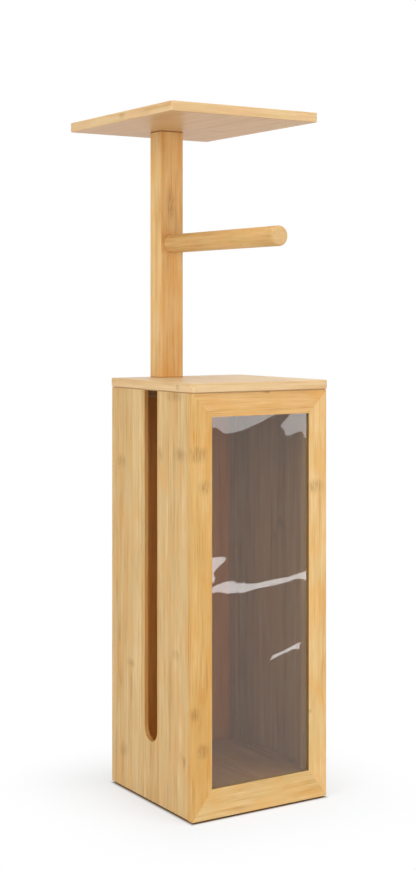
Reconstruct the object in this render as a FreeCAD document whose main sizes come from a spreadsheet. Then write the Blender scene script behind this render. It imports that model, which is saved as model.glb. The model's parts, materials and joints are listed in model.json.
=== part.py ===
import FreeCAD, Part
import os
import re
import Sketcher

# Driving dimensions of the stand, in millimetres.
sizes = {
    # Cabinet for the spare rolls
    "cabinet_width": 180,
    "cabinet_depth": 180,
    "cabinet_height": 462,
    "side_thickness": 6,
    "back_thickness": 6,
    "floor_thickness": 6,
    "floor_top": 28,
    "runner_width": 16,
    "corner_batten": 14,
    "corner_batten_gap": 4,
    "slot_width": 29,
    "slot_bottom": 67,
    "slot_arris": 1.2,
    "panel_arris": 1,
    # Window frame, pane and beads
    "frame_thickness": 10,
    "stile_width": 25,
    "top_rail_width": 26,
    "bottom_rail_width": 32,
    "frame_arris": 2,
    "rebate_width": 6,
    "rebate_depth": 7.5,
    "pane_thickness": 2,
    "pane_clearance": 0.5,
    "bead_width": 5.5,
    # Feet
    "foot_diameter": 14,
    "foot_height": 2,
    "foot_end_distance": 18,
    # Lid that lifts off with the post
    "lid_thickness": 11,
    "lid_overhang": 2,
    "lid_corner_radius": 7,
    "lid_arris": 1,
    "lid_seam_height": 1,
    "lid_seam_depth": 1.2,
    "lid_batten_width": 20,
    "lid_batten_height": 12,
    "lid_batten_clearance": 1,
    # Post, roll dowel and shelf
    "post_width": 31,
    "post_depth": 25,
    "post_length": 291,
    "post_shift": 25,
    "post_inset": 4,
    "post_arris": 1.5,
    "post_end_arris": 1,
    "dowel_diameter": 22,
    "dowel_reach": 222,
    "dowel_height": 158,
    "dowel_tip_radius": 2.5,
    "spigot_diameter": 14,
    "spigot_length": 10,
    "spigot_clearance": 0.1,
    "shelf_width": 192,
    "shelf_depth": 234,
    "shelf_thickness": 11,
    "shelf_front_overhang": 8,
    "shelf_corner_radius": 2,
    "shelf_arris": 1,
    # Countersunk wood screws
    "small_shank": 3.5,
    "small_head": 6.6,
    "large_shank": 4.5,
    "large_head": 8.6,
    "screw_tip": 4,
    "screw_point": 1,
    "screw_clearance": 0.1,
    "screw_end_distance": 60,
    "screws_per_batten": 3,
    "frame_screw_length": 20,
    "back_screw_length": 16,
    "floor_screw_length": 18,
    "floor_screw_end_distance": 40,
    "lid_batten_screw_length": 18,
    "lid_batten_screw_end_distance": 20,
    "post_screw_length": 50,
    "post_screw_spacing": 15,
    "shelf_screw_length": 40,
    "dowel_screw_length": 45,
}

# Lengths and places that follow from them, about the middle of the cabinet's footprint on the floor.
derived = {
    "front": "-cabinet_depth / 2",
    "frame_back": "front + frame_thickness",
    "back_inside": "cabinet_depth / 2 - back_thickness",
    "inner_half": "cabinet_width / 2 - side_thickness",
    "inner_depth": "back_inside - frame_back",
    "side_depth": "cabinet_depth - frame_thickness",
    "floor_level": "foot_height + floor_top",
    "runner_height": "floor_top - floor_thickness",
    "runner_centre": "inner_half - runner_width / 2",
    "lid_underside": "foot_height + cabinet_height",
    "lid_batten_underside": "lid_underside - lid_batten_height",
    "corner_batten_length": "lid_batten_underside - corner_batten_gap - floor_level",
    "corner_batten_centre": "inner_half - corner_batten / 2",
    "batten_screw_low": "floor_level + screw_end_distance",
    "batten_screw_step": "(corner_batten_length - 2 * screw_end_distance) / (screws_per_batten - 1)",
    "opening_left": "stile_width - cabinet_width / 2",
    "opening_width": "cabinet_width - 2 * stile_width",
    "opening_low": "foot_height + bottom_rail_width",
    "opening_height": "cabinet_height - bottom_rail_width - top_rail_width",
    "rebate_front": "frame_back - rebate_depth",
    "bead_thickness": "rebate_depth - pane_thickness",
    "pane_grip": "rebate_width - pane_clearance",
    "lid_half_width": "cabinet_width / 2 + lid_overhang",
    "lid_half_depth": "cabinet_depth / 2 + lid_overhang",
    "lid_top": "lid_underside + lid_thickness",
    "lid_rim_thickness": "lid_thickness - lid_seam_height",
    "lid_seam_inset": "lid_overhang + lid_seam_depth",
    "lid_batten_length": "2 * (inner_half - lid_batten_clearance)",
    "front_batten_y": "frame_back + lid_batten_clearance",
    "back_batten_y": "back_inside - lid_batten_clearance - lid_batten_width",
    "post_left": "-post_shift - post_width / 2",
    "post_back": "cabinet_depth / 2 - post_inset",
    "post_front": "post_back - post_depth",
    "post_middle": "post_back - post_depth / 2",
    "dowel_axis": "lid_top + dowel_height",
    "dowel_tip": "post_front - dowel_reach",
    "shelf_underside": "lid_top + post_length",
    "shelf_left": "-post_shift - shelf_width / 2",
    "shelf_right": "-post_shift + shelf_width / 2",
    "shelf_front": "front - shelf_front_overhang",
    "shelf_back": "shelf_front + shelf_depth",
    # The part's origin is on the floor at the middle of the whole stand's box.
    "centre_x": "-(max(lid_half_width; shelf_right) + min(-lid_half_width; shelf_left)) / 2",
    "centre_y": "-(max(lid_half_depth; shelf_back) + min(min(-lid_half_depth; shelf_front); dowel_tip)) / 2",
}

doc = FreeCAD.newDocument("RollStand")
sheet = doc.addObject("Spreadsheet::Sheet", "Sizes")
for row, (alias, number) in enumerate(sizes.items(), start=1):
    sheet.set(f"A{row}", alias)
    sheet.set(f"B{row}", str(number))
    sheet.setAlias(f"B{row}", alias)
doc.recompute()

nodes = {}


def formula(text):
    def replace(match):
        word = match.group()
        if word in derived:
            return f"({formula(derived[word])})"
        return f"Sizes.{word}" if word in sizes else word

    return re.sub(r"[a-z_]+", replace, text)


def value(text):
    return float(sheet.evalExpression(formula(text)))


def bind(thing, prop, text):
    thing.setExpression(prop, formula(text))


def place(thing, x, y, z):
    bind(thing, "Placement.Base.x", f"centre_x + {x}")
    bind(thing, "Placement.Base.y", f"centre_y + {y}")
    bind(thing, "Placement.Base.z", z)


def name_node(thing, label):
    thing.Label = label
    nodes[label] = thing


def block(name, corner, extent):
    box = doc.addObject("Part::Box", name)
    for prop, text in zip(("Length", "Width", "Height"), extent):
        bind(box, prop, text)
    place(box, *corner)
    return box


touching = 1e-4


# Sketches and bodies

def start_body(name, x, y, z):
    body = doc.addObject("PartDesign::Body", name)
    place(body, x, y, z)
    return body


def start_sketch(body, role, name, offset=None):
    sketch = body.newObject("Sketcher::SketchObject", name)
    plane = next(feature for feature in body.Origin.OriginFeatures if feature.Role == role)
    sketch.AttachmentSupport = [(plane, "")]
    sketch.MapMode = "FlatFace"
    if offset:
        bind(sketch, "AttachmentOffset.Base.z", offset)
    return sketch


def fix_point(sketch, line, end, x, y):
    for kind, text, axis in (("DistanceX", x, -2), ("DistanceY", y, -1)):
        if text == "0":
            sketch.addConstraint(Sketcher.Constraint("PointOnObject", line, end, axis))
            continue
        index = sketch.addConstraint(Sketcher.Constraint(kind, -1, 1, line, end, value(text)))
        bind(sketch, f"Constraints[{index}]", text)


def draw_polygon(sketch, points):
    corners = [FreeCAD.Vector(value(x), value(y), 0) for x, y in points]
    lines = []
    for here, there in zip(corners, corners[1:] + corners[:1]):
        lines.append(sketch.addGeometry(Part.LineSegment(here, there)))
    for line, following in zip(lines, lines[1:] + lines[:1]):
        sketch.addConstraint(Sketcher.Constraint("Coincident", line, 2, following, 1))
    for line, (x, y) in zip(lines, points):
        fix_point(sketch, line, 1, x, y)


def rectangle(left, low, right, high):
    return [(left, low), (right, low), (right, high), (left, high)]


def add_pad(body, sketch, length, reverse=False):
    pad = body.newObject("PartDesign::Pad", sketch.Name + "_pad")
    pad.Profile = sketch
    bind(pad, "Length", length)
    pad.Reversed = reverse
    doc.recompute()


def add_pocket(body, sketch, length, reverse=False):
    before = body.Shape.Volume
    pocket = body.newObject("PartDesign::Pocket", sketch.Name + "_pocket")
    pocket.Profile = sketch
    bind(pocket, "Length", length)
    pocket.Reversed = reverse
    doc.recompute()
    if body.Shape.Volume >= before:
        raise RuntimeError(f"{pocket.Name} cuts nothing")


def round_edges(body, name, radius, wanted):
    base = body.Tip
    picked = [f"Edge{i}" for i, edge in enumerate(base.Shape.Edges, start=1) if wanted(edge.BoundBox)]
    if not picked:
        raise RuntimeError(f"{name} finds no edge")
    fillet = body.newObject("PartDesign::Fillet", name)
    fillet.Base = (base, picked)
    bind(fillet, "Radius", radius)
    doc.recompute()


def upright(box):
    return box.XLength < touching and box.YLength < touching


def level(box, height):
    return box.ZLength < touching and abs(box.ZMin - value(height)) < touching


def facing_front(box):
    return box.YLength < touching and abs(box.YMin) < touching


def within(low, high, from_text, to_text):
    return low > value(from_text) - touching and high < value(to_text) + touching


def eased_board(name, corner, width, depth, thickness, corner_radius, arris):
    body = start_body(name, *corner)
    sketch = start_sketch(body, "XY_Plane", name + "_outline")
    draw_polygon(sketch, rectangle("0", "0", width, depth))
    add_pad(body, sketch, thickness)
    round_edges(body, name + "_corners", corner_radius, upright)
    round_edges(body, name + "_arris", arris, lambda box: level(box, "0") or level(box, thickness))
    return body


# Screws and the holes that they sit in

def screw(name, size, length, gap, rotation, spot):
    shank = f"{size}_shank / 2 + {gap}"
    head = doc.addObject("Part::Cone", name + "_head")
    bind(head, "Radius1", f"{size}_head / 2 + {gap}")
    bind(head, "Radius2", shank)
    bind(head, "Height", f"({size}_head - {size}_shank) / 2")
    stem = doc.addObject("Part::Cylinder", name + "_stem")
    bind(stem, "Radius", shank)
    bind(stem, "Height", f"{length} - screw_tip + {gap}")
    tip = doc.addObject("Part::Cone", name + "_tip")
    bind(tip, "Radius1", shank)
    bind(tip, "Radius2", f"screw_point / 2 + {gap}")
    bind(tip, "Height", "screw_tip")
    bind(tip, "Placement.Base.z", f"{length} - screw_tip + {gap}")
    whole = doc.addObject("Part::MultiFuse", name)
    whole.Shapes = [head, stem, tip]
    whole.Placement.Rotation = rotation
    place(whole, *spot)
    return whole


def screw_group(label, size, length, direction, spots):
    rotation = FreeCAD.Rotation(FreeCAD.Vector(0, 0, 1), FreeCAD.Vector(*direction))
    groups = []
    for kind, gap in (("screw", "0"), ("hole", "screw_clearance")):
        group = doc.addObject("Part::Compound", f"{label}_{kind}_group")
        group.Links = [
            screw(f"{label}_{kind}_{i}", size, length, gap, rotation, spot)
            for i, spot in enumerate(spots, start=1)
        ]
        groups.append(group)
    screws, holes = groups
    name_node(screws, label)
    return holes


def cut_node(label, base, *tools):
    for i, tool in enumerate(tools, start=1):
        cut = doc.addObject("Part::Cut", f"{label}_cut_{i}")
        cut.Base = base
        cut.Tool = tool
        base = cut
    name_node(base, label)


to_front = (0, -1, 0)
downwards = (0, 0, -1)
upwards = (0, 0, 1)
both_sides = ("-", "+")

batten_heights = [
    f"batten_screw_low + {i} * batten_screw_step" for i in range(int(value("screws_per_batten")))
]
frame_holes = screw_group(
    "frame_screws", "small", "frame_screw_length", to_front,
    [
        (f"{side}corner_batten_centre", "frame_back + corner_batten", z)
        for side in both_sides for z in batten_heights
    ],
)
back_holes = screw_group(
    "back_screws", "small", "back_screw_length", to_front,
    [(f"{side}corner_batten_centre", "cabinet_depth / 2", z) for side in both_sides for z in batten_heights],
)
floor_screw_rows = ("frame_back + floor_screw_end_distance", "back_inside - floor_screw_end_distance")
floor_holes = screw_group(
    "floor_screws", "small", "floor_screw_length", downwards,
    [(f"{side}runner_centre", y, "floor_level") for side in both_sides for y in floor_screw_rows],
)
lid_batten_rows = {"front": "front_batten_y", "back": "back_batten_y"}
lid_batten_holes = screw_group(
    "lid_batten_screws", "small", "lid_batten_screw_length", upwards,
    [
        (
            f"{side}(lid_batten_length / 2 - lid_batten_screw_end_distance)",
            f"{row} + lid_batten_width / 2",
            "lid_batten_underside",
        )
        for side in both_sides for row in lid_batten_rows.values()
    ],
)
post_screw_columns = [f"-post_shift {side} post_screw_spacing / 2" for side in both_sides]
post_holes = screw_group(
    "post_screws", "large", "post_screw_length", upwards,
    [(x, "post_middle", "lid_batten_underside") for x in post_screw_columns],
)
shelf_holes = screw_group(
    "shelf_screws", "large", "shelf_screw_length", downwards,
    [(x, "post_middle", "shelf_underside + shelf_thickness") for x in post_screw_columns],
)
dowel_holes = screw_group(
    "dowel_screw", "large", "dowel_screw_length", to_front,
    [("-post_shift", "post_back", "dowel_axis")],
)

# Cabinet walls: the left one has the finger slot, open at the top

def side_panel(label, x, outer_face):
    body = start_body(label + "_body", x, "frame_back", "foot_height")
    sketch = start_sketch(body, "YZ_Plane", label + "_outline")
    draw_polygon(sketch, rectangle("0", "0", "side_depth", "cabinet_height"))
    add_pad(body, sketch, "side_thickness")
    outside = value(outer_face)
    round_edges(body, label + "_arris", "panel_arris", lambda box: (
        abs(box.XMin - outside) < touching and box.XLength < touching
        and (box.YMin > value("side_depth") - touching or box.ZMax < touching)
    ))
    name_node(body, label)
    return body


def cut_finger_slot(body):
    middle = "cabinet_depth / 2 - frame_thickness"
    near = f"{middle} - slot_width / 2"
    far = f"{middle} + slot_width / 2"
    springing = "slot_bottom + slot_width / 2"
    sketch = start_sketch(body, "YZ_Plane", "finger_slot")
    centre = FreeCAD.Vector(value(middle), value(springing), 0)
    near_low = FreeCAD.Vector(value(near), centre.y, 0)
    far_low = FreeCAD.Vector(value(far), centre.y, 0)
    near_high = FreeCAD.Vector(near_low.x, value("cabinet_height"), 0)
    far_high = FreeCAD.Vector(far_low.x, near_high.y, 0)
    lowest = FreeCAD.Vector(centre.x, value("slot_bottom"), 0)
    near_side = sketch.addGeometry(Part.LineSegment(near_high, near_low))
    round_end = sketch.addGeometry(Part.Arc(near_low, lowest, far_low))
    far_side = sketch.addGeometry(Part.LineSegment(far_low, far_high))
    mouth = sketch.addGeometry(Part.LineSegment(far_high, near_high))
    sketch.addConstraint(Sketcher.Constraint("Tangent", near_side, 2, round_end, 1))
    sketch.addConstraint(Sketcher.Constraint("Coincident", round_end, 2, far_side, 1))
    sketch.addConstraint(Sketcher.Constraint("Coincident", far_side, 2, mouth, 1))
    sketch.addConstraint(Sketcher.Constraint("Coincident", mouth, 2, near_side, 1))
    fix_point(sketch, near_side, 1, near, "cabinet_height")
    fix_point(sketch, near_side, 2, near, springing)
    fix_point(sketch, far_side, 1, far, springing)
    fix_point(sketch, far_side, 2, far, "cabinet_height")
    add_pocket(body, sketch, "side_thickness", reverse=True)
    round_edges(
        body, "finger_slot_arris", "slot_arris",
        lambda box: box.XMax < touching and within(box.YMin, box.YMax, near, far),
    )


cut_finger_slot(side_panel("left_side_panel", "-cabinet_width / 2", "0"))
side_panel("right_side_panel", "inner_half", "side_thickness")

back = block(
    "back_blank",
    ("-inner_half", "back_inside", "foot_height"),
    ("2 * inner_half", "back_thickness", "cabinet_height"),
)
cut_node("back_panel", back, back_holes)

floor = block(
    "floor_blank",
    ("-inner_half", "frame_back", "foot_height + runner_height"),
    ("2 * inner_half", "inner_depth", "floor_thickness"),
)
cut_node("floor_panel", floor, floor_holes)

sides = {"left": "-inner_half", "right": "inner_half"}
for side, wall in sides.items():
    runner = block(
        f"{side}_runner_blank",
        (f"{wall} - runner_width" if side == "right" else wall, "frame_back", "foot_height"),
        ("runner_width", "inner_depth", "runner_height"),
    )
    cut_node(f"{side}_floor_runner", runner, floor_holes)
    ends = {"front": ("frame_back", frame_holes), "back": ("back_inside - corner_batten", back_holes)}
    for end, (y, holes) in ends.items():
        batten = block(
            f"{end}_{side}_batten_blank",
            (f"{wall} - corner_batten" if side == "right" else wall, y, "floor_level"),
            ("corner_batten", "corner_batten", "corner_batten_length"),
        )
        cut_node(f"{end}_{side}_batten", batten, holes)

pads = []
for side in both_sides:
    for y in ("frame_back + foot_end_distance", "back_inside - foot_end_distance"):
        pad = doc.addObject("Part::Cylinder", f"foot_{len(pads) + 1}")
        bind(pad, "Radius", "foot_diameter / 2")
        bind(pad, "Height", "foot_height")
        place(pad, f"{side}runner_centre", y, "0")
        pads.append(pad)
feet = doc.addObject("Part::Compound", "feet")
feet.Links = pads
name_node(feet, "foot_pads")

# Window frame: one rebated blank, parted at the mitres

def frame_blank():
    body = start_body("frame_blank", "-cabinet_width / 2", "front", "foot_height")
    sketch = start_sketch(body, "XZ_Plane", "frame_outline")
    right = "cabinet_width - stile_width"
    high = "cabinet_height - top_rail_width"
    draw_polygon(sketch, rectangle("0", "0", "cabinet_width", "cabinet_height"))
    draw_polygon(sketch, rectangle("stile_width", "bottom_rail_width", right, high))
    add_pad(body, sketch, "frame_thickness", reverse=True)
    rebate = start_sketch(body, "XZ_Plane", "pane_rebate", "rebate_depth - frame_thickness")
    draw_polygon(rebate, rectangle(
        "stile_width - rebate_width", "bottom_rail_width - rebate_width",
        f"{right} + rebate_width", f"{high} + rebate_width",
    ))
    add_pocket(body, rebate, "rebate_depth")
    round_edges(body, "frame_arris", "frame_arris", lambda box: (
        upright(box) and facing_front(box) and not within(box.XMin, box.XMax, "stile_width", right)
    ))
    return body


def frame_member(label, blank, points, *holes):
    wedge = start_body(label + "_wedge", "-cabinet_width / 2", "front", "foot_height")
    sketch = start_sketch(wedge, "XZ_Plane", label + "_mitres")
    draw_polygon(sketch, points)
    add_pad(wedge, sketch, "frame_thickness", reverse=True)
    member = doc.addObject("Part::Common", label + "_common")
    member.Base = blank
    member.Tool = wedge
    cut_node(label, member, *holes)


blank = frame_blank()
outer_low = [("0", "0"), ("cabinet_width", "0")]
outer_high = [("0", "cabinet_height"), ("cabinet_width", "cabinet_height")]
inner_low = [("stile_width", "bottom_rail_width"), ("cabinet_width - stile_width", "bottom_rail_width")]
inner_high = [(x, "cabinet_height - top_rail_width") for x, y in inner_low]
left_stile = [outer_low[0], inner_low[0], inner_high[0], outer_high[0]]
right_stile = [inner_low[1], outer_low[1], outer_high[1], inner_high[1]]
frame_member("frame_left_stile", blank, left_stile, frame_holes)
frame_member("frame_right_stile", blank, right_stile, frame_holes)
frame_member("frame_bottom_rail", blank, [*outer_low, inner_low[1], inner_low[0]])
frame_member("frame_top_rail", blank, [inner_high[0], inner_high[1], outer_high[1], outer_high[0]])

pane = block(
    "pane",
    ("opening_left - pane_grip", "rebate_front", "opening_low - pane_grip"),
    ("opening_width + 2 * pane_grip", "pane_thickness", "opening_height + 2 * pane_grip"),
)
name_node(pane, "window_pane")

bead_y = "rebate_front + pane_thickness"
bead_low = "opening_low - rebate_width"
bead_left = "opening_left - rebate_width"
cross_bead_length = "opening_width + 2 * rebate_width - 2 * bead_width"
beads = {
    "left": ((bead_left, bead_low), ("bead_width", "opening_height + 2 * rebate_width")),
    "right": (
        ("opening_left + opening_width + rebate_width - bead_width", bead_low),
        ("bead_width", "opening_height + 2 * rebate_width"),
    ),
    "bottom": ((f"{bead_left} + bead_width", bead_low), (cross_bead_length, "bead_width")),
    "top": (
        (f"{bead_left} + bead_width", "opening_low + opening_height + rebate_width - bead_width"),
        (cross_bead_length, "bead_width"),
    ),
}
for side, ((x, z), (width, height)) in beads.items():
    bead = block(f"{side}_bead", (x, bead_y, z), (width, "bead_thickness", height))
    name_node(bead, f"pane_bead_{side}")

# Lid, whose rim stands off the walls in a shadow gap, and the battens that drop inside them

lid = eased_board(
    "lid_blank", ("-lid_half_width", "-lid_half_depth", "lid_underside + lid_seam_height"),
    "2 * lid_half_width", "2 * lid_half_depth", "lid_rim_thickness", "lid_corner_radius", "lid_arris",
)
lid_land = start_sketch(lid, "XY_Plane", "lid_land")
draw_polygon(lid_land, rectangle(
    "lid_seam_inset", "lid_seam_inset",
    "2 * lid_half_width - lid_seam_inset", "2 * lid_half_depth - lid_seam_inset",
))
add_pad(lid, lid_land, "lid_seam_height", reverse=True)
cut_node("lid_board", lid, lid_batten_holes, post_holes)
batten_tools = {"front": (lid_batten_holes,), "back": (lid_batten_holes, post_holes)}
for end, y in lid_batten_rows.items():
    batten = block(
        f"lid_{end}_batten_blank",
        ("-lid_batten_length / 2", y, "lid_batten_underside"),
        ("lid_batten_length", "lid_batten_width", "lid_batten_height"),
    )
    cut_node(f"lid_{end}_batten", batten, *batten_tools[end])

# Post, roll dowel with its spigot, and shelf

post = start_body("post_blank", "post_left", "post_front", "lid_top")
post_section = start_sketch(post, "XY_Plane", "post_section")
draw_polygon(post_section, rectangle("0", "0", "post_width", "post_depth"))
add_pad(post, post_section, "post_length")
round_edges(post, "post_arris", "post_arris", upright)
round_edges(post, "post_end_arris", "post_end_arris", lambda box: level(box, "post_length"))
socket = doc.addObject("Part::Cylinder", "spigot_socket")
bind(socket, "Radius", "spigot_diameter / 2 + spigot_clearance")
bind(socket, "Height", "spigot_length + spigot_clearance")
socket.Placement.Rotation = FreeCAD.Rotation(FreeCAD.Vector(0, 0, 1), FreeCAD.Vector(0, 1, 0))
place(socket, "-post_shift", "post_front", "dowel_axis")
cut_node("post", post, post_holes, shelf_holes, socket, dowel_holes)


def draw_circle(sketch, diameter):
    ring = sketch.addGeometry(Part.Circle(FreeCAD.Vector(), FreeCAD.Vector(0, 0, 1), value(diameter) / 2))
    sketch.addConstraint(Sketcher.Constraint("Coincident", ring, 3, -1, 1))
    index = sketch.addConstraint(Sketcher.Constraint("Diameter", ring, value(diameter)))
    bind(sketch, f"Constraints[{index}]", diameter)


dowel = start_body("dowel_blank", "-post_shift", "post_front", "dowel_axis")
rod_section = start_sketch(dowel, "XZ_Plane", "rod_section")
draw_circle(rod_section, "dowel_diameter")
add_pad(dowel, rod_section, "dowel_reach")
spigot_section = start_sketch(dowel, "XZ_Plane", "spigot_section")
draw_circle(spigot_section, "spigot_diameter")
add_pad(dowel, spigot_section, "spigot_length", reverse=True)
round_edges(
    dowel, "dowel_tip_rounding", "dowel_tip_radius",
    lambda box: box.YLength < touching and abs(box.YMin + value("dowel_reach")) < touching,
)
cut_node("roll_dowel", dowel, dowel_holes)

shelf = eased_board(
    "shelf_blank", ("shelf_left", "shelf_front", "shelf_underside"),
    "shelf_width", "shelf_depth", "shelf_thickness", "shelf_corner_radius", "shelf_arris",
)
cut_node("top_shelf", shelf, shelf_holes)

# Every object and every piece is sound before anything is written

doc.recompute()
for thing in doc.Objects:
    if "Invalid" in thing.State or "Error" in thing.State:
        raise RuntimeError(f"{thing.Name} failed: {thing.State}")
for label, thing in nodes.items():
    if thing.Shape.isNull() or not thing.Shape.isValid() or not thing.Shape.Solids:
        raise RuntimeError(f"{label} has no sound shape")

os.makedirs("parts", exist_ok=True)
for label, thing in nodes.items():
    thing.Shape.exportStep(f"parts/{label}.step")
    print(f"{label}: {len(thing.Shape.Solids)} solids, {thing.Shape.Volume / 1000:.1f} cm3")
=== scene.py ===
import bpy
import bmesh
import json
import math
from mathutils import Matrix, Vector


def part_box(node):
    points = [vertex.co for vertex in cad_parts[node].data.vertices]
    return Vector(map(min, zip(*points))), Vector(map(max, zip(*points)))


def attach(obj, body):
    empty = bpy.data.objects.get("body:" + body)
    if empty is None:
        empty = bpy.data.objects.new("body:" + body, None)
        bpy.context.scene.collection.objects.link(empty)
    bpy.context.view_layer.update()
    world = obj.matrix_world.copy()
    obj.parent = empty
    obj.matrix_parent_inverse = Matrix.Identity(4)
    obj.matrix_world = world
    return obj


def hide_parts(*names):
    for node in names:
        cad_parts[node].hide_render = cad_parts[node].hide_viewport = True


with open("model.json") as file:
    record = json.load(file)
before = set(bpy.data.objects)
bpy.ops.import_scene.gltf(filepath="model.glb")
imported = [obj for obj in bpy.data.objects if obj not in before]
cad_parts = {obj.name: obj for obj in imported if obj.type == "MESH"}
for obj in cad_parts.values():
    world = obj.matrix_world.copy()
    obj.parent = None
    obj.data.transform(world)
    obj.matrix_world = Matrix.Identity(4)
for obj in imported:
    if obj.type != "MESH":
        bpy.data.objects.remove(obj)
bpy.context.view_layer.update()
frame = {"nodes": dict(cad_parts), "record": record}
nodes = frame["nodes"]
millimetre = 0.001


# Small helpers for objects and node trees

def addObject(name, data):
    made = bpy.data.objects.new(name, data)
    bpy.context.scene.collection.objects.link(made)
    return made


def addNode(tree, kind, inputs=None, **settings):
    made = tree.nodes.new(kind)
    for name, setting in settings.items():
        setattr(made, name, setting)
    for key, given in (inputs or {}).items():
        if isinstance(given, bpy.types.NodeSocket):
            tree.links.new(given, made.inputs[key])
        else:
            made.inputs[key].default_value = given
    return made


def calc(tree, operation, *terms):
    return addNode(tree, "ShaderNodeMath", dict(enumerate(terms)), operation=operation).outputs[0]


def vectorCalc(tree, operation, *terms):
    made = addNode(tree, "ShaderNodeVectorMath", dict(enumerate(terms)), operation=operation)
    return made.outputs["Value" if operation == "LENGTH" else "Vector"]


def objectSpot(tree):
    return addNode(tree, "ShaderNodeTexCoord").outputs["Object"]


def splitAxes(tree, vector):
    return addNode(tree, "ShaderNodeSeparateXYZ", {0: vector}).outputs


def addNoise(tree, vector, scale, detail, **more):
    inputs = {"Vector": vector, "Scale": scale, "Detail": detail, **more}
    return addNode(tree, "ShaderNodeTexNoise", inputs).outputs[0]


def mapSmooth(tree, reading, low, high, atLow, atHigh):
    made = addNode(
        tree, "ShaderNodeMapRange",
        {"Value": reading, "From Min": low, "From Max": high, "To Min": atLow, "To Max": atHigh},
        interpolation_type="SMOOTHSTEP",
    )
    return made.outputs["Result"]


def mixColour(tree, share, first, second, blend="MIX"):
    # a colour mix takes its share and colours at these inputs and gives output 2
    made = addNode(
        tree, "ShaderNodeMix", {0: share, 6: first, 7: second}, data_type="RGBA", blend_type=blend
    )
    return made.outputs[2]


def linear(red, green, blue):
    # a colour as a picture shows it, 0 to 255, turned into the shader's linear values
    def one(channel):
        share = channel / 255
        return share / 12.92 if share <= 0.04045 else ((share + 0.055) / 1.055) ** 2.4

    return one(red), one(green), one(blue), 1.0


def newMaterial(name):
    material = bpy.data.materials.new(name)
    material.use_nodes = True
    material.node_tree.nodes.clear()
    return material, material.node_tree


def finishMaterial(tree, shader):
    addNode(tree, "ShaderNodeOutputMaterial", {"Surface": shader})


# Bamboo: glued strips with fibres, seams and the soft marks of the culm's joints

bambooShared = {
    # grain: repeats per metre across and along it, then detail
    "fibre": (800.0, 22.0, 3.0),
    "streak": (240.0, 8.0, 3.0),
    "band": (72.0, 10.0, 2.0),
    "cloud": (44.0, 18.0, 2.0),
    "dash": (620.0, 90.0, 2.0),
    "grainRoughness": 0.6,
    # narrow strips in plies, unless a finish says otherwise
    "stripWidth": 0.0065,
    "strayStrip": 0.0,  # how far a strip's grain is shifted along it, by a draw of its own
    "plyWidth": 0.0125,
    "plyStride": 17.0,  # strips counted from one ply to the next
    "crossPly": False,
    "crossFacing": 0.7,
    # joints of the culm
    "jointSpacing": 0.33,
    "jointAbove": 0.005,  # how far a joint's mark reaches up and down its strip
    "jointBelow": 0.014,
    "jointWobble": 0.022,
    "jointShare": 0.4,  # strips that show their joints
    "jointDepth": 0.8,
    "jointHeight": 0.6,
    "marks": (),  # joints at chosen places: middle, half width, half height
    "markStrength": 0.0,
    "markThrough": 0.006,
    "markReach": (0.2, 1.9),
    # glue lines
    "seamHalfWidth": 0.0005,
    "seamDepth": 0.0,
    "seamHeight": -0.8,
    # lowest and highest reading of the grain, then the share at each
    "jointBreaks": (0.36, 0.62, 1.0, 0.1),
    "jointPatches": (0.38, 0.62, 0.1, 1.0),
    "markDashes": (0.4, 0.62, 0.3, 1.0),
    "seamPatches": (0.42, 0.6, 0.15, 1.0),
    "blushPatches": (0.42, 0.66, 0.0, 0.55),
    "strawPatches": (0.44, 0.68, 0.0, 0.5),
    "endPores": (0.38, 0.62, 0.26, 0.06),
    "roughness": (0.3, 0.7, 0.52, 0.42),
    # cut ends, and shadow lines at a height with a half width
    "endFacing": (0.75, 0.98),
    "endPale": 0.0,
    "endLines": (),
    "endLineDepth": 0.75,
    # tones that the colour is multiplied by
    "boardTones": {},
    # painted shade on faces turned down, painted sheen on faces turned up
    "paintedShadeAndSheen": (),  # from and to in the upward share of the face's direction, then the tone
    # surface
    "sheen": 0.16,
    "coat": 0.04,
    "coatRoughness": 0.3,
    "bumpStrength": 0.2,
    "bumpDepth": 0.0003,
}
wideStrips = {"stripWidth": 0.020, "strayStrip": 7.31, "plyWidth": None}

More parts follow.
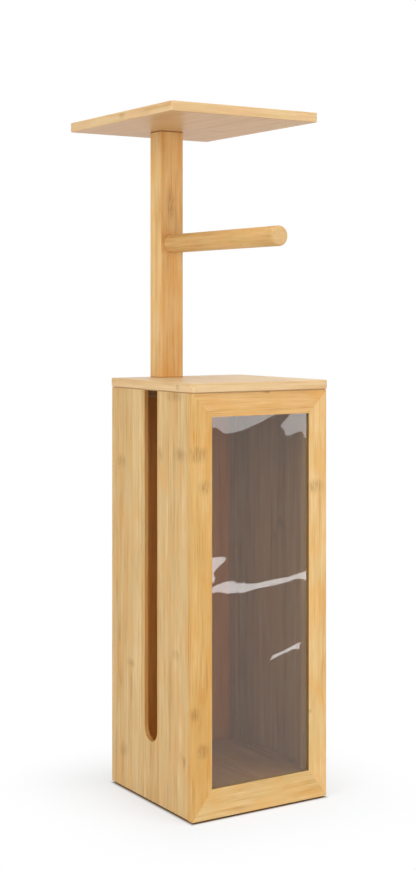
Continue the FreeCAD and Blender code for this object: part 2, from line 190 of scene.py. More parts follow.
# axes names the way across the strips, through the board and along the grain,
# contrast is that of strips, bands, streaks and fibres
bambooLooks = {
    "bamboo_upright": {  # side and back walls, corner battens
        **wideStrips,
        "axes": "YXZ", "stripStart": 0.0135, "seed": 3.0, "contrast": (0.3, 1.0, 1.4, 1.1),
        "pale": (229, 197, 143), "middle": (213, 176, 120), "deep": (188, 141, 78),
        "blush": (218, 168, 102), "straw": (210, 180, 127), "joint": (150, 106, 54),
        "seamDepth": 0.34, "markStrength": 0.6,
        "marks": (
            ((-0.075, 0.079, 0.379), 0.009, 0.006), ((-0.075, -0.010, 0.394), 0.004, 0.006),
            ((-0.075, -0.052, 0.396), 0.009, 0.006), ((-0.075, 0.073, 0.045), 0.008, 0.007),
            ((-0.075, -0.039, 0.460), 0.014, 0.005), ((-0.075, -0.043, 0.176), 0.006, 0.005),
            ((-0.075, 0.057, 0.149), 0.007, 0.004),
        ),
    },
    "bamboo_frame_upright": {  # stiles, upright beads and the post
        "axes": "XYZ", "stripStart": 0.002, "seed": 11.0, "contrast": (0.12, 1.2, 1.3, 1.6),
        "pale": (240, 206, 152), "middle": (227, 186, 124), "deep": (206, 152, 82),
        "blush": (229, 172, 94), "straw": (226, 192, 132), "joint": (156, 112, 56),
        "endLines": ((0.766, 0.0017), (0.475, 0.0012)),  # the post's top and foot
        "boardTones": {"frame_left_stile": (243, 233, 210), "post": (249, 238, 225)},
        "markStrength": 0.75,
        "marks": (
            ((-0.068, -0.0775, 0.398), 0.009, 0.007), ((-0.060, -0.0775, 0.362), 0.006, 0.006),
            ((-0.072, -0.0775, 0.118), 0.004, 0.006), ((-0.062, -0.0775, 0.077), 0.006, 0.006),
            ((0.088, -0.0775, 0.355), 0.009, 0.006), ((0.081, -0.0775, 0.101), 0.0016, 0.002),
            ((-0.012, 0.0735, 0.678), 0.005, 0.016),
        ),
    },
    "bamboo_crosswise": {  # rails, cross beads and the lid's battens
        "axes": "ZYX", "stripStart": 0.001, "seed": 23.0, "contrast": (0.12, 1.2, 1.3, 1.6),
        "pale": (237, 205, 152), "middle": (223, 185, 126), "deep": (203, 154, 86),
        "blush": (226, 173, 96), "straw": (225, 190, 128), "joint": (160, 106, 44),
        "boardTones": {"frame_top_rail": (252, 237, 219)},
    },
    "bamboo_board": {  # lid and shelf
        **wideStrips,
        "axes": "XZY", "stripStart": 0.004, "seed": 37.0, "contrast": (0.3, 1.1, 1.3, 1.0),
        "pale": (235, 203, 156), "middle": (223, 186, 133), "deep": (204, 158, 98),
        "blush": (224, 180, 128), "straw": (220, 188, 130), "joint": (150, 100, 48),
        "crossPly": True, "seamDepth": 0.2, "sheen": 0.32, "coat": 0.16,
        # painted shade on the undersides of lid and shelf, painted sheen on their tops
        "paintedShadeAndSheen": ((-0.5, -0.8, (234, 217, 200)), (0.5, 0.8, (255, 260, 268))),
        "markStrength": 0.7,
        "marks": (((-0.106, 0.023, 0.772), 0.006, 0.003), ((-0.076, -0.050, 0.470), 0.003, 0.003)),
    },
    "bamboo_lengthwise": {  # floor, its runners and the dowel
        "axes": "XZY", "stripStart": 0.003, "seed": 53.0, "contrast": (0.12, 1.1, 1.2, 1.1),
        "pale": (230, 191, 134), "middle": (213, 169, 107), "deep": (188, 134, 70),
        "blush": (219, 166, 98), "straw": (214, 174, 106), "joint": (150, 98, 42),
        "endPale": 0.8,
    },
}

# Painted shade: in the cabinet, in its finger slot and behind the window's edge
paintedShadeLook = {
    "lip": 0.0004,  # reach past a face, so that the face counts as inside
    "slotHalfWidth": 0.0148,
    "slotBottom": 0.0686,
    "slotRimOutsideShade": 0.001,  # rim of the finger slot, left out of the painted shade
    # painted shade for each space, warmed orange on the back wall like light bounced between the walls
    "tones": {
        "inside": (198, 184, 173), "slot": (224, 196, 158),
        "back": (231, 178, 104), "window": (184, 180, 178),
    },
}


def paintedShadeSpaces(look):
    lip = look["lip"]
    panelLow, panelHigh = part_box("left_side_panel")
    stileLow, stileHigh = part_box("frame_left_stile")
    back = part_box("back_panel")[0].y
    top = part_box("lid_board")[0].z
    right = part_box("right_side_panel")[0].x
    slotMiddle = (stileLow.y + panelHigh.y) / 2
    beadLeft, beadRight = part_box("pane_bead_left")[1].x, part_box("pane_bead_right")[0].x
    beadBottom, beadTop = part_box("pane_bead_bottom")[1].z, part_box("pane_bead_top")[0].z
    return {
        "inside": ((panelHigh.x - lip, stileHigh.y - lip, 0.0), (right + lip, back - lip, top + lip)),
        "slot": (
            (panelLow.x + look["slotRimOutsideShade"], slotMiddle - look["slotHalfWidth"], look["slotBottom"]),
            (panelHigh.x, slotMiddle + look["slotHalfWidth"], top),
        ),
        "back": ((panelHigh.x, back - lip, 0.0), (right, back + lip, top)),
        "window": (
            (beadLeft - lip, stileLow.y + lip, beadBottom - lip),
            (beadRight + lip, panelLow.y, beadTop + lip),
        ),
    }


def inBox(tree, parts, low, high):
    inside = 1.0
    for reading, least, most in zip(parts, low, high):
        fromMiddle = calc(tree, "ABSOLUTE", calc(tree, "SUBTRACT", reading, (least + most) / 2))
        inside = calc(tree, "MULTIPLY", inside, calc(tree, "LESS_THAN", fromMiddle, (most - least) / 2))
    return inside


def grainWays(tree, look, parts, facing):
    across, through, along = (parts["XYZ".index(letter)] for letter in look["axes"])
    endOn = calc(tree, "ABSOLUTE", facing["XYZ".index(look["axes"][2])])
    if not look["crossPly"]:
        return across, through, along, mapSmooth(tree, endOn, *look["endFacing"], 0.0, 1.0)
    # the ply between the outer ones runs the other way, so both edges show long fibres
    turned = calc(tree, "GREATER_THAN", endOn, look["crossFacing"])
    ownAcross, ownAlong = (
        calc(tree, "MULTIPLY_ADD", turned, calc(tree, "SUBTRACT", there, here), here)
        for here, there in ((across, along), (along, across))
    )
    return ownAcross, through, ownAlong, 0.0


def stripDraws(tree, look, across, through, along):
    # which strip this is, and draws of its own
    reading = calc(tree, "DIVIDE", calc(tree, "SUBTRACT", across, look["stripStart"]), look["stripWidth"])
    strip = calc(tree, "FLOOR", reading)
    if look["plyWidth"]:
        ply = calc(tree, "FLOOR", calc(tree, "DIVIDE", through, look["plyWidth"]))
        strip = calc(tree, "MULTIPLY_ADD", ply, look["plyStride"], strip)
    draws = addNode(
        tree, "ShaderNodeTexWhiteNoise", {"W": calc(tree, "ADD", strip, look["seed"])}, noise_dimensions="1D"
    ).outputs
    tone, joint, strength = addNode(tree, "ShaderNodeSeparateColor", {0: draws["Color"]}).outputs[:3]
    ownAlong = calc(tree, "MULTIPLY_ADD", draws["Value"], look["strayStrip"], along)
    return {"reading": reading, "tone": tone, "joint": joint, "strength": strength, "along": ownAlong}


def grainNoise(tree, look, place, name, shift=0.0):
    acrossRate, alongRate, detail = look[name]
    rates = (acrossRate, acrossRate, alongRate)
    scaled = [calc(tree, "MULTIPLY_ADD", reading, rate, shift) for reading, rate in zip(place, rates)]
    vector = addNode(tree, "ShaderNodeCombineXYZ", dict(enumerate(scaled))).outputs[0]
    return addNoise(tree, vector, 1.0, detail, Roughness=look["grainRoughness"])


def jointMarks(tree, look, along, strip, grain):
    # the marks left by the joints of the culm, at a height of its own on each strip
    reading = calc(tree, "ADD", calc(tree, "DIVIDE", along, look["jointSpacing"]), strip["joint"])
    fromJoint = calc(tree, "SUBTRACT", calc(tree, "FRACT", reading), 0.5)
    wobble = calc(tree, "MULTIPLY", calc(tree, "SUBTRACT", grain["streak"], 0.5), look["jointWobble"])
    fromJoint = calc(tree, "MULTIPLY_ADD", fromJoint, look["jointSpacing"], wobble)
    reach = calc(
        tree, "MAXIMUM",
        calc(tree, "DIVIDE", fromJoint, look["jointAbove"]),
        calc(tree, "DIVIDE", fromJoint, -look["jointBelow"]),
    )
    mark = mapSmooth(tree, reach, 0.0, 1.0, 1.0, 0.0)
    for share in (
        mapSmooth(tree, grain["fibre"], *look["jointBreaks"]),
        mapSmooth(tree, grain["band"], *look["jointPatches"]),
        mapSmooth(tree, strip["strength"], 1.0 - look["jointShare"], 1.0, 0.0, 1.0),
    ):
        mark = calc(tree, "MULTIPLY", mark, share)
    return mark


def chosenMark(tree, look, spot, dashes, middle, halfWidth, halfHeight):
    radii = [look["markThrough"]] * 3
    if look["crossPly"]:  # these lie on a left edge, whose fibres run along Y
        radii[1:] = halfWidth, halfHeight
    else:
        radii["XYZ".index(look["axes"][0])] = halfWidth
        radii["XYZ".index(look["axes"][2])] = halfHeight
    offset = vectorCalc(tree, "SUBTRACT", spot, middle)
    reading = vectorCalc(tree, "LENGTH", vectorCalc(tree, "DIVIDE", offset, radii))
    mark = mapSmooth(tree, reading, *look["markReach"], look["markStrength"], 0.0)
    return calc(tree, "MULTIPLY", mark, dashes)


def glueLines(tree, look, strip, grain):
    # plain on some stretches and lost on others
    toSeam = calc(tree, "MULTIPLY", calc(tree, "PINGPONG", strip["reading"], 0.5), look["stripWidth"])
    line = mapSmooth(tree, toSeam, 0.0, look["seamHalfWidth"], 1.0, 0.0)
    return calc(tree, "MULTIPLY", line, mapSmooth(tree, grain["cloud"], *look["seamPatches"]))


def stripColour(tree, look, strip, grain):
    # one reading from pale to deep, then the colours
    shade = 0.5
    readings = (strip["tone"], grain["band"], grain["streak"], grain["fibre"])
    for reading, contrast in zip(readings, look["contrast"]):
        shade = calc(tree, "MULTIPLY_ADD", calc(tree, "SUBTRACT", reading, 0.5), contrast, shade)
    ramp = addNode(tree, "ShaderNodeValToRGB", {0: shade})
    ramp.color_ramp.elements[0].color = linear(*look["pale"])
    ramp.color_ramp.elements[1].color = linear(*look["deep"])
    ramp.color_ramp.elements.new(0.5).color = linear(*look["middle"])
    blush = mapSmooth(tree, grain["cloud"], *look["blushPatches"])
    straw = mapSmooth(tree, grain["hue"], *look["strawPatches"])
    colour = mixColour(tree, blush, ramp.outputs[0], linear(*look["blush"]))
    return mixColour(tree, straw, colour, linear(*look["straw"]))


def endColour(tree, look, colour, along, endGrain, fibre):
    # shadow lines where the post ends, and cut ends that take up more lacquer
    joint = linear(*look["joint"])
    for height, half in look["endLines"]:
        away = calc(tree, "ABSOLUTE", calc(tree, "SUBTRACT", along, height))
        line = mapSmooth(tree, away, half / 2, half, look["endLineDepth"], 0.0)
        colour = mixColour(tree, line, colour, joint)
    if look["endPale"]:
        paleEnd = calc(tree, "MULTIPLY", endGrain, look["endPale"])
        colour = mixColour(tree, paleEnd, colour, linear(*look["pale"]))
    pores = mapSmooth(tree, fibre, *look["endPores"])
    return mixColour(tree, calc(tree, "MULTIPLY", endGrain, pores), colour, joint)


def tonesAndPaintedShade(tree, look, colour, parts, facing):
    # each board has its own tone, painted shade makes the faces inside the cabinet, slot and window browner,
    # and lid and shelf get painted shade below and a painted sheen above
    tones = [(inBox(tree, parts, *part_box(node)), tone) for node, tone in look["boardTones"].items()]
    for space, (low, high) in paintedShadeSpaces(paintedShadeLook).items():
        tones.append((inBox(tree, parts, low, high), paintedShadeLook["tones"][space]))
    for start, end, tone in look["paintedShadeAndSheen"]:
        tones.append((mapSmooth(tree, facing[2], start, end, 0.0, 1.0), tone))
    for share, tone in tones:
        colour = mixColour(tree, share, colour, linear(*tone), "MULTIPLY")
    return colour


def bambooMaterial(name, look):
    material, tree = newMaterial(name)
    spot = objectSpot(tree)
    parts = splitAxes(tree, spot)
    facing = splitAxes(tree, addNode(tree, "ShaderNodeNewGeometry").outputs["Normal"])
    across, through, along, endGrain = grainWays(tree, look, parts, facing)
    strip = stripDraws(tree, look, across, through, along)

    # fibres, streaks, broad bands and clouds, all drawn out along the grain
    place = (across, through, strip["along"])
    noises = ("fibre", "streak", "band", "cloud", "dash")
    grain = {noise: grainNoise(tree, look, place, noise) for noise in noises}
    grain["hue"] = grainNoise(tree, look, place, "cloud", look["seed"])

    jointMark = jointMarks(tree, look, along, strip, grain)
    dashes = mapSmooth(tree, grain["dash"], *look["markDashes"])
    for mark in look["marks"]:
        jointMark = calc(tree, "MAXIMUM", jointMark, chosenMark(tree, look, spot, dashes, *mark))
    seamMark = glueLines(tree, look, strip, grain)

    colour = stripColour(tree, look, strip, grain)
    for mark, depth in ((jointMark, look["jointDepth"]), (seamMark, look["seamDepth"])):
        colour = mixColour(tree, calc(tree, "MULTIPLY", mark, depth), colour, linear(*look["joint"]))
    colour = endColour(tree, look, colour, along, endGrain, grain["fibre"])
    colour = tonesAndPaintedShade(tree, look, colour, parts, facing)

    height = calc(tree, "MULTIPLY_ADD", jointMark, look["jointHeight"], grain["fibre"])
    height = calc(tree, "MULTIPLY_ADD", seamMark, look["seamHeight"], height)
    bump = addNode(tree, "ShaderNodeBump", {
        "Strength": look["bumpStrength"], "Distance": look["bumpDepth"], "Height": height,
    })
    shader = addNode(tree, "ShaderNodeBsdfPrincipled", {
        "Base Color": colour, "Roughness": mapSmooth(tree, grain["fibre"], *look["roughness"]),
        "Normal": bump.outputs[0], "Specular IOR Level": look["sheen"],
        "Coat Weight": look["coat"], "Coat Roughness": look["coatRoughness"],
    })
    finishMaterial(tree, shader.outputs[0])
    return material


# Clear sheet in the window, with a trace of wiping left on it

paneLook = {
    "tint": (0.88, 0.9, 0.9, 1.0),
    "shade": (0.88, 0.88, 0.88, 1.0),  # what lamps shine through with
    "ior": 1.49,
    "gloss": 1.0,
    "wipes": 14.0,  # repeats per metre
    "wipeDetail": 3.0,
    "wipeTilt": 35.0,  # degrees
    "wipeStretch": (1.0, 1.0, 0.25),
    "roughness": (0.4, 0.75, 0.005, 0.03),  # from and to in the wiping, then the roughness at each
    "waves": (6.0, 1.0, 17.0),  # repeats per metre along each axis
    "waveDetail": 1.0,
    "waveDistortion": 0.6,
    "waveTilt": 24.0,
    "waveShift": (7.7, 0.0, 1.9),
    "waveDepth": 0.0011,
}


def tiltedOnPane(tree, spot, degrees, **more):
    inputs = {"Vector": spot, "Rotation": (0.0, math.radians(degrees), 0.0), **more}
    return addNode(tree, "ShaderNodeMapping", inputs).outputs[0]


def paneMaterial(name, look):
    material, tree = newMaterial(name)
    spot = objectSpot(tree)
    wiped = tiltedOnPane(tree, spot, look["wipeTilt"], Scale=look["wipeStretch"])
    film = addNoise(tree, wiped, look["wipes"], look["wipeDetail"])
    # a thin sheet never lies quite flat
    tilted = tiltedOnPane(tree, spot, look["waveTilt"])
    bowed = addNode(tree, "ShaderNodeMapping", {
        "Vector": tilted, "Scale": look["waves"], "Location": look["waveShift"],
    })
    waves = addNoise(tree, bowed.outputs[0], 1.0, look["waveDetail"], Distortion=look["waveDistortion"])
    bump = addNode(tree, "ShaderNodeBump", {"Strength": 1.0, "Distance": look["waveDepth"], "Height": waves})
    clear = addNode(tree, "ShaderNodeBsdfPrincipled", {
        "Base Color": look["tint"], "Transmission Weight": 1.0, "IOR": look["ior"], "Normal": bump.outputs[0],
        "Specular IOR Level": look["gloss"], "Roughness": mapSmooth(tree, film, *look["roughness"]),
    })
    # lamps shine through to the inside
    shadowRay = addNode(tree, "ShaderNodeLightPath").outputs["Is Shadow Ray"]
    letThrough = addNode(tree, "ShaderNodeBsdfTransparent", {"Color": look["shade"]})
    shader = addNode(tree, "ShaderNodeMixShader", {
        0: shadowRay, 1: clear.outputs[0], 2: letThrough.outputs[0],
    })
    finishMaterial(tree, shader.outputs[0])
    return material


# Zinc on the screws

zincLook = {
    "bright": (194, 188, 172), "dull": (158, 150, 134), "patch": 420.0, "patchDetail": 4.0,
    "roughness": (0.3, 0.7, 0.26, 0.42),
}


def zincMaterial(name, look):
    material, tree = newMaterial(name)
    patches = addNoise(tree, objectSpot(tree), look["patch"], look["patchDetail"])
    shader = addNode(tree, "ShaderNodeBsdfPrincipled", {
        "Base Color": mixColour(tree, patches, linear(*look["bright"]), linear(*look["dull"])),
        "Metallic": 1.0, "Roughness": mapSmooth(tree, patches, *look["roughness"]),
    })
    finishMaterial(tree, shader.outputs[0])
    return material


# Rubber under the feet

rubberLook = {
    "face": (52, 46, 42), "dust": (78, 70, 63), "grain": 1600.0, "grainDetail": 2.0,
    "roughness": 0.85, "sheen": 0.2, "bumpStrength": 0.3, "bumpDepth": 0.0002,
}


def rubberMaterial(name, look):
    material, tree = newMaterial(name)
    grain = addNoise(tree, objectSpot(tree), look["grain"], look["grainDetail"])
    bump = addNode(tree, "ShaderNodeBump", {
        "Strength": look["bumpStrength"], "Distance": look["bumpDepth"], "Height": grain,
    })
    shader = addNode(tree, "ShaderNodeBsdfPrincipled", {
        "Base Color": mixColour(tree, grain, linear(*look["face"]), linear(*look["dust"])),
        "Roughness": look["roughness"], "Specular IOR Level": look["sheen"], "Normal": bump.outputs[0],
    })
    finishMaterial(tree, shader.outputs[0])
    return material


finishes = {slot: bambooMaterial(slot, {**bambooShared, **look}) for slot, look in bambooLooks.items()}
finishes["clear_acrylic"] = paneMaterial("clear_acrylic", paneLook)
finishes["zinc_steel"] = zincMaterial("zinc_steel", zincLook)
finishes["pad_rubber"] = rubberMaterial("pad_rubber", rubberLook)

for part in frame["record"]["subparts"]:
    for materialSlot in nodes[part["node"]].material_slots:
        materialSlot.material = finishes[part["material_slot"]]
print("finishes given to the packed nodes:", len(finishes))


# Screws: cross recess, countersunk head and a wood thread, from one tree of nodes

screwSizes = {  # in millimetres
    "small": {
        "Head Radius": 3.3, "Shank Radius": 1.75, "Thread Pitch": 1.6,
        "Recess Reach": 1.7, "Recess Width": 0.75,
    },
    "large": {
        "Head Radius": 4.3, "Shank Radius": 2.25, "Thread Pitch": 2.0,
        "Recess Reach": 2.3, "Recess Width": 1.0,
    },
}
screwShared = {"Tip Length": 4.0, "Thread Depth": 0.45, "Recess Depth": 1.5}
screwMake = {"rowsPerPitch": 5, "sides": 18, "seed": 5, "weld": 1e-6}  # weld in metres
screwGroups = {  # body, then node: size, way it is driven, how many along each axis
    "cabinet": {
        "frame_screws": ("small", (0, -1, 0), (2, 1, 3)),
        "back_screws": ("small", (0, -1, 0), (2, 1, 3)),
        "floor_screws": ("small", (0, 0, -1), (2, 2, 1)),
    },
    "lid_unit": {
        "lid_batten_screws": ("small", (0, 0, 1), (2, 2, 1)),
        "post_screws": ("large", (0, 0, 1), (2, 1, 1)),
        "shelf_screws": ("large", (0, 0, -1), (2, 1, 1)),
        "dowel_screw": ("large", (0, -1, 0), (1, 1, 1)),
    },
}
screwInputs = {
    "NodeSocketGeometry": ("Geometry",),
    "NodeSocketFloat": (
        "Head Radius", "Shank Radius", "Length", "Tip Length", "Thread Pitch", "Thread Depth",
        "Recess Reach", "Recess Width", "Recess Depth",
    ),
    "NodeSocketInt": ("Rows", "Sides", "Seed"),
    "NodeSocketVector": ("Driven",),
    "NodeSocketMaterial": ("Finish",),
}


def threadedShank(tree, given):
    # a sheet of rows by sides, rolled up: its first row is the middle of the head
    around = calc(tree, "ADD", given["Sides"], 1.0)
    sheet = addNode(tree, "GeometryNodeMeshGrid", {
        "Size X": 1.0, "Size Y": 1.0, "Vertices X": given["Rows"], "Vertices Y": around,
    })
    position = splitAxes(tree, addNode(tree, "GeometryNodeInputPosition").outputs[0])
    lastRow = calc(tree, "SUBTRACT", given["Rows"], 1.0)
    row = calc(tree, "ROUND", calc(tree, "MULTIPLY", calc(tree, "ADD", position[0], 0.5), lastRow))
    turn = calc(tree, "ADD", position[1], 0.5)
    angle = calc(tree, "MULTIPLY", turn, math.tau)
    step = calc(tree, "DIVIDE", given["Length"], calc(tree, "SUBTRACT", given["Rows"], 2.0))
    depth = calc(tree, "MAXIMUM", calc(tree, "MULTIPLY", calc(tree, "SUBTRACT", row, 1.0), step), 0.0)

    # countersunk cone, thread and point
    cone = calc(tree, "SUBTRACT", given["Head Radius"], depth)
    pitches = calc(tree, "ADD", calc(tree, "DIVIDE", depth, given["Thread Pitch"]), turn)
    wave = calc(tree, "MULTIPLY", calc(tree, "PINGPONG", pitches, 0.5), 2.0)
    groove = calc(tree, "MULTIPLY", wave, given["Thread Depth"])
    thread = calc(tree, "SUBTRACT", given["Shank Radius"], groove)
    toPoint = calc(tree, "DIVIDE", calc(tree, "SUBTRACT", given["Length"], depth), given["Tip Length"])
    point = calc(tree, "MULTIPLY", calc(tree, "MINIMUM", toPoint, 1.0), calc(tree, "MAXIMUM", cone, thread))
    radius = calc(tree, "MULTIPLY", point, calc(tree, "MINIMUM", row, 1.0))
    rolled = addNode(tree, "ShaderNodeCombineXYZ", {
        0: calc(tree, "MULTIPLY", radius, calc(tree, "COSINE", angle)),
        1: calc(tree, "MULTIPLY", radius, calc(tree, "SINE", angle)),
        2: depth,
    })
    tube = addNode(tree, "GeometryNodeSetPosition", {
        "Geometry": sheet.outputs["Mesh"], "Position": rolled.outputs[0],
    })
    closed = addNode(tree, "GeometryNodeMergeByDistance", {
        "Geometry": tube.outputs[0], "Distance": screwMake["weld"],
    })
    return addNode(tree, "GeometryNodeFlipFaces", {"Mesh": closed.outputs[0]}).outputs[0]


def crossRecess(tree, given, screw):
    reach = calc(tree, "MULTIPLY", given["Recess Reach"], 2.0)
    depth = calc(tree, "MULTIPLY", given["Recess Depth"], 2.0)
    blades = addNode(tree, "GeometryNodeMeshBoolean", operation="UNION", solver="EXACT")
    for size in ((reach, given["Recess Width"], depth), (given["Recess Width"], reach, depth)):
        extent = addNode(tree, "ShaderNodeCombineXYZ", dict(enumerate(size))).outputs[0]
        blade = addNode(tree, "GeometryNodeMeshCube", {"Size": extent})
        tree.links.new(blade.outputs["Mesh"], blades.inputs["Mesh 2"])
    cut = addNode(tree, "GeometryNodeMeshBoolean", {"Mesh 1": screw}, operation="DIFFERENCE", solver="EXACT")
    tree.links.new(blades.outputs["Mesh"], cut.inputs["Mesh 2"])
    return cut.outputs["Mesh"]


def buildScrewTree():
    tree = bpy.data.node_groups.new("woodScrews", "GeometryNodeTree")
    tree.interface.new_socket("Geometry", in_out="OUTPUT", socket_type="NodeSocketGeometry")
    for kind, names in screwInputs.items():
        for name in names:
            tree.interface.new_socket(name, in_out="INPUT", socket_type=kind)
    given = addNode(tree, "NodeGroupInput").outputs
    screw = crossRecess(tree, given, threadedShank(tree, given))

    # one at each point, driven that way and stopped at a chance angle
    aim = addNode(tree, "FunctionNodeAlignRotationToVector", {"Vector": given["Driven"]}, axis="Z")
    spin = addNode(
        tree, "FunctionNodeRandomValue", {"Max": math.pi, "Seed": given["Seed"]}, data_type="FLOAT"
    )
    chance = next(socket for socket in spin.outputs if socket.enabled)
    own = addNode(tree, "FunctionNodeAxisAngleToRotation", {"Axis": (0.0, 0.0, 1.0), "Angle": chance})
    turned = addNode(
        tree, "FunctionNodeRotateRotation", {0: aim.outputs[0], 1: own.outputs[0]}, rotation_space="LOCAL"
    )
    placed = addNode(tree, "GeometryNodeInstanceOnPoints", {
        "Points": given["Geometry"], "Instance": screw, "Rotation": turned.outputs[0],
    })
    real = addNode(tree, "GeometryNodeRealizeInstances", {0: placed.outputs[0]})
    dressed = addNode(tree, "GeometryNodeSetMaterial", {
        "Geometry": real.outputs[0], "Material": given["Finish"],
    })
    addNode(tree, "NodeGroupOutput", {0: dressed.outputs[0]})
    return tree


def spread(low, high, margin, count):
    if count == 1:
        return [(low + high) / 2]
    gap = (high - low - 2 * margin) / (count - 1)
    return [low + margin + gap * i for i in range(count)]


def headSpots(node, driven, counts, headRadius):
    low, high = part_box(node)
    ways = []
    for axis in range(3):
        if driven[axis]:
            ways.append([high[axis] if driven[axis] < 0 else low[axis]])
        else:
            ways.append(spread(low[axis], high[axis], headRadius, counts[axis]))
    return [(x, y, z) for x in ways[0] for y in ways[1] for z in ways[2]]


def screwMesh(tree, node, size, driven, counts):
    settings = {name: length * millimetre for name, length in {**screwSizes[size], **screwShared}.items()}
    low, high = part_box(node)
    settings["Length"] = max(abs(way) * (top - bottom) for way, bottom, top in zip(driven, low, high))
    # two rows more, for the middle of the head and its rim
    settings["Rows"] = round(settings["Length"] / settings["Thread Pitch"] * screwMake["rowsPerPitch"]) + 2
    settings["Sides"] = screwMake["sides"]
    settings["Seed"] = screwMake["seed"]
    settings["Driven"] = [float(way) for way in driven]
    settings["Finish"] = finishes["zinc_steel"]

    mesh = bpy.data.meshes.new(node + "Spots")
    mesh.from_pydata(headSpots(node, driven, counts, settings["Head Radius"]), [], [])
    holder = addObject(node + "Spots", mesh)
    modifier = holder.modifiers.new("woodScrews", "NODES")
    modifier.node_group = tree
    for item in tree.interface.items_tree:
        if item.in_out == "INPUT" and item.name in settings:
            modifier[item.identifier] = settings[item.name]
    depsgraph = bpy.context.evaluated_depsgraph_get()
    made = bpy.data.meshes.new_from_object(holder.evaluated_get(depsgraph))
    bpy.data.objects.remove(holder)
    return made


screwTree = buildScrewTree()
for body, groups in screwGroups.items():
    together = bmesh.new()
    for node, (size, driven, counts) in groups.items():
        together.from_mesh(screwMesh(screwTree, node, size, driven, counts))
    mesh = bpy.data.meshes.new(body + "_wood_screws")
    bmesh.ops.triangulate(together, faces=together.faces[:])
    bmesh.ops.recalc_face_normals(together, faces=together.faces[:])
    together.to_mesh(mesh)
    together.free()
    mesh.materials.clear()
    mesh.materials.append(finishes["zinc_steel"])
    screws = addObject(body + "_wood_screws", mesh)
    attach(screws, body)
    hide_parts(*groups)
    print("screws on", body + ":", len(mesh.polygons), "triangles")


# Floor, light and camera

def seenRays(tree):
    path = addNode(tree, "ShaderNodeLightPath").outputs
    seen = calc(tree, "MAXIMUM", path["Is Camera Ray"], path["Is Glossy Ray"])
    return calc(tree, "MAXIMUM", seen, path["Is Transmission Ray"])


floorLook = {
    "half": 4.0,
    "drop": 0.0002,
    "colour": (0.87, 0.905, 0.94, 1.0),
    "fadeReach": (-0.15, 0.15),  # from the cabinet's foot outwards, where the floor turns white
    # colour of the painted shadow under the stand
    "under": (0.33, 0.215, 0.11, 1.0),
    "paintedShadowEdge": (-0.0038, 0.003),  # from outside the foot to inside it
}


def floorMaterial(name, look):
    material, tree = newMaterial(name)
    # how far a spot lies from the cabinet's footprint
    low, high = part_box("frame_left_stile")[0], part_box("right_side_panel")[1]
    middle, reach = (low + high) / 2, (high - low) / 2
    folded = vectorCalc(tree, "ABSOLUTE", vectorCalc(tree, "SUBTRACT", objectSpot(tree), middle))
    outside = vectorCalc(tree, "MAXIMUM", vectorCalc(tree, "SUBTRACT", folded, reach), (0.0, 0.0, 0.0))
    fade = mapSmooth(tree, vectorCalc(tree, "LENGTH", outside), *look["fadeReach"], 0.0, 1.0)
    # painted shadow in the gap under the stand, reaching a little past its foot
    sides = splitAxes(tree, folded)
    inX, inY = calc(tree, "SUBTRACT", reach.x, sides[0]), calc(tree, "SUBTRACT", reach.y, sides[1])
    paintedShadow = mapSmooth(tree, calc(tree, "MINIMUM", inX, inY), *look["paintedShadowEdge"], 0.0, 1.0)
    bright = calc(tree, "MULTIPLY", fade, calc(tree, "SUBTRACT", 1.0, paintedShadow))
    colour = mixColour(tree, paintedShadow, look["colour"], look["under"])
    matt = addNode(tree, "ShaderNodeBsdfDiffuse", {"Color": colour})
    white = addNode(tree, "ShaderNodeEmission", {"Strength": 1.0})
    shader = addNode(tree, "ShaderNodeMixShader", {
        0: calc(tree, "MULTIPLY", bright, seenRays(tree)), 1: matt.outputs[0], 2: white.outputs[0],
    })
    finishMaterial(tree, shader.outputs[0])
    return material


def buildFloor(look):
    mesh = bpy.data.meshes.new("studioFloor")
    half = look["half"]
    corners = [(x, y, -look["drop"]) for x, y in ((-half, -half), (half, -half), (half, half), (-half, half))]
    mesh.from_pydata(corners, [], [(0, 1, 2, 3)])
    mesh.materials.append(floorMaterial("studioFloor", look))
    floor = addObject("studioFloor", mesh)


studio = {
    "skyStrength": 0.4,
    "lamps": {  # place, target, width and height, power in watts, whether gloss shows it
        "topLamp": ((0.2, -0.9, 2.5), (0.0, 0.0, 0.4), (2.0, 2.0), 28.5, True),
        "rightLamp": ((1.2, -1.75, 0.62), (0.0, 0.0, 0.4), (0.7, 0.7), 8.2, True),
        "leftLamp": ((-2.2, -0.72, 1.2), (0.0, 0.0, 0.4), (1.6, 1.6), 27.5, True),
        "backLamp": ((0.9, 2.3, 0.8), (0.0, 0.0, 0.4), (1.4, 0.7), 10.0, False),
        # two slim ones for the streaks on the pane
        "streakLamp": ((0.6, -0.9, 0.08), (0.0, -0.08, 0.26), (0.34, 0.022), 0.22, True),
        "lowStreakLamp": ((0.35, -0.5, 0.052), (0.02, -0.08, 0.165), (0.055, 0.012), 0.019, True),
    },
}


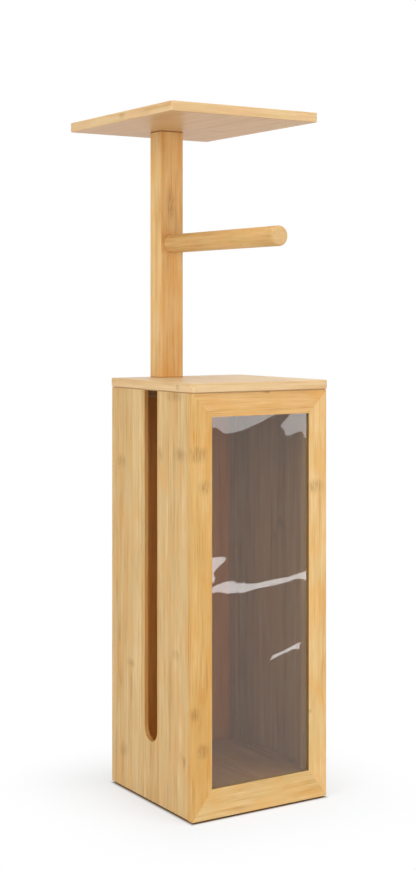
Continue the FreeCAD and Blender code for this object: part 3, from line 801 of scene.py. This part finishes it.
def buildWorld(look):
    world = bpy.data.worlds.new("studioWorld")
    world.use_nodes = True
    tree = world.node_tree
    tree.nodes.clear()
    white = (1.0, 1.0, 1.0, 1.0)
    lit = addNode(tree, "ShaderNodeBackground", {"Color": white, "Strength": look["skyStrength"]})
    shown = addNode(tree, "ShaderNodeBackground", {"Color": white, "Strength": 1.0})
    mixed = addNode(tree, "ShaderNodeMixShader", {0: seenRays(tree), 1: lit.outputs[0], 2: shown.outputs[0]})
    addNode(tree, "ShaderNodeOutputWorld", {0: mixed.outputs[0]})
    bpy.context.scene.world = world


def buildLamps(look):
    for name, (place, target, size, power, inGloss) in look["lamps"].items():
        lamp = bpy.data.lights.new(name, "AREA")
        lamp.shape = "RECTANGLE"
        lamp.size, lamp.size_y = size
        lamp.energy = power
        holder = addObject(name, lamp)
        holder.visible_camera = False
        holder.visible_transmission = False  # not seen through the pane
        holder.visible_glossy = inGloss
        holder.location = place
        holder.rotation_euler = (Vector(target) - Vector(place)).to_track_quat("-Z", "Y").to_euler()


cameraLook = {
    "imageHeight": 870, "focalPixels": 1528.65, "horizonRow": 314.06,
    "fromNearEdge": (-0.8652, -1.3989, 0.5499),  # from the foot of the cabinet's nearest edge
    "pitch": 90.0, "yaw": 32.32, "sensor": 36.0,
}


def buildCamera(look):
    camera = bpy.data.cameras.new("photoCamera")
    camera.sensor_width = look["sensor"]
    camera.lens = look["focalPixels"] * look["sensor"] / look["imageHeight"]
    camera.shift_y = (look["horizonRow"] - look["imageHeight"] / 2) / look["imageHeight"]
    camera.dof.use_dof = False
    holder = addObject("photoCamera", camera)
    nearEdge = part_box("frame_left_stile")[0]
    holder.location = Vector((nearEdge.x, nearEdge.y, 0.0)) + Vector(look["fromNearEdge"])
    holder.rotation_euler = (math.radians(look["pitch"]), 0.0, -math.radians(look["yaw"]))
    bpy.context.scene.camera = holder


buildFloor(floorLook)
buildWorld(studio)
buildLamps(studio)
buildCamera(cameraLook)
bpy.context.scene.view_settings.view_transform = "Standard"
print("floor, light and camera in place")
